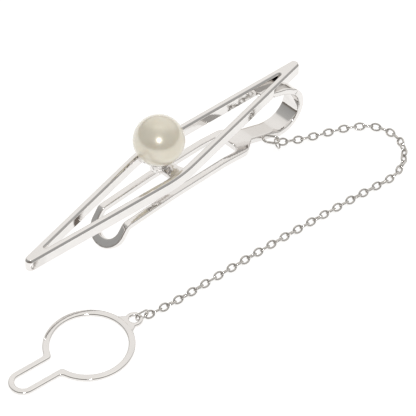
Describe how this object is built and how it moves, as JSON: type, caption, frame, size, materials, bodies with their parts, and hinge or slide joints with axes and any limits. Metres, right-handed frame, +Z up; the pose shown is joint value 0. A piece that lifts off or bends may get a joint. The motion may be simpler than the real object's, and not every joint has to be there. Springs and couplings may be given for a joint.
{
  "type": "tie clip",
  "caption": "Slim tie clip: open lozenge front with a round pearl on its crossbar, spring strip back, fine safety chain and keyhole-shaped button loop.",
  "frame": {"origin": "on the surface the clip lies on, under the middle of the clip without its chain and button loop", "axes": "+X along the spring strip towards its U-bend, +Y across the clip away from the chain, +Z up from the surface towards the pearl"},
  "size_m": [0.0835, 0.027, 0.0191],
  "materials": {
    "front_frame": "mirror polished white metal",
    "setting": "polished white metal",
    "spring_strip": "polished white metal",
    "chain": "polished white metal wire",
    "button_loop": "polished white metal",
    "pearl": "cream cultured pearl, high lustre"
  },
  "bodies": {
    "back": {"spring_leg": "spring_strip", "chain_eyelet": "chain"},
    "front": {"front_frame": "front_frame", "crossbar": "front_frame", "pearl_cup": "setting", "pearl_post": "setting", "pearl": "pearl", "spring_pad": "spring_strip"},
    "safety_chain": {"clip_jump_ring": "chain", "chain": "chain", "loop_jump_ring": "chain"},
    "button_toggle": {"button_loop": "button_loop", "button_loop_eyelet": "button_loop"}
  },
  "joints": [
    {"name": "bend_spring", "type": "hinge", "parent": "back", "child": "front", "pos_m": [0.02965, 0, 0.00455], "axis": [0, 1, 0], "range_deg": [0, 12], "stiffness_Nm_per_rad": 0.2},
    {"name": "chain_swivel", "type": "hinge", "parent": "back", "child": "safety_chain", "pos_m": [0.02193, -0.0032, 0.0018], "axis": [0, 0, 1], "range_deg": [-5, 20]},
    {"name": "loop_fold", "type": "hinge", "parent": "safety_chain", "child": "button_toggle", "pos_m": [-0.02128, -0.01608, 0.00109], "axis": [0.1305, 0.9914, 0], "range_deg": [0, 90]}
  ]
}
